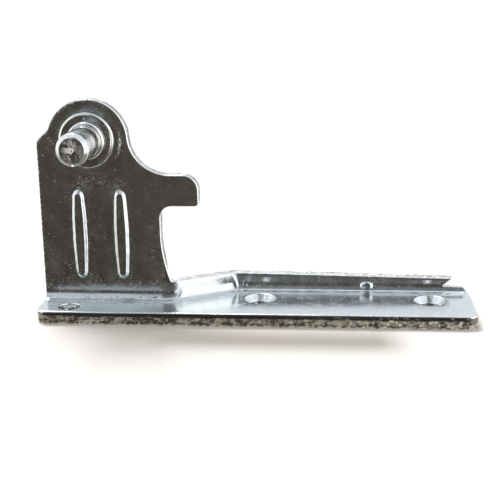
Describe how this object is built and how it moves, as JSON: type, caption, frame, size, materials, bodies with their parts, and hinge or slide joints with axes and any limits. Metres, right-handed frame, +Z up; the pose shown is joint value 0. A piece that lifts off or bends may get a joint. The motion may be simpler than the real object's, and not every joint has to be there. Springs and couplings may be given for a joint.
{
  "type": "casement window sash bracket",
  "caption": "Folded zinc-plated steel window stay bracket: countersunk base, upright ear with a riveted pivot stud, washer, hook and stiffening beads.",
  "frame": {"origin": "centre of the middle screw hole, on the underside of the base", "axes": "+X along the base away from the ear, +Y from the front edge to the bent-up back, +Z up, away from the surface that the base is screwed to"},
  "size_m": [0.086, 0.022, 0.0431],
  "materials": {
    "plate_zinc": "bright zinc plate on a stamped steel sheet",
    "stud_zinc": "bright zinc plate on a turned steel stud",
    "washer_zinc": "bright zinc plate on a stamped steel washer"
  },
  "bodies": {
    "root": {"bracket_plate": "plate_zinc", "pivot_stud": "stud_zinc", "stud_washer": "washer_zinc"}
  },
  "joints": []
}
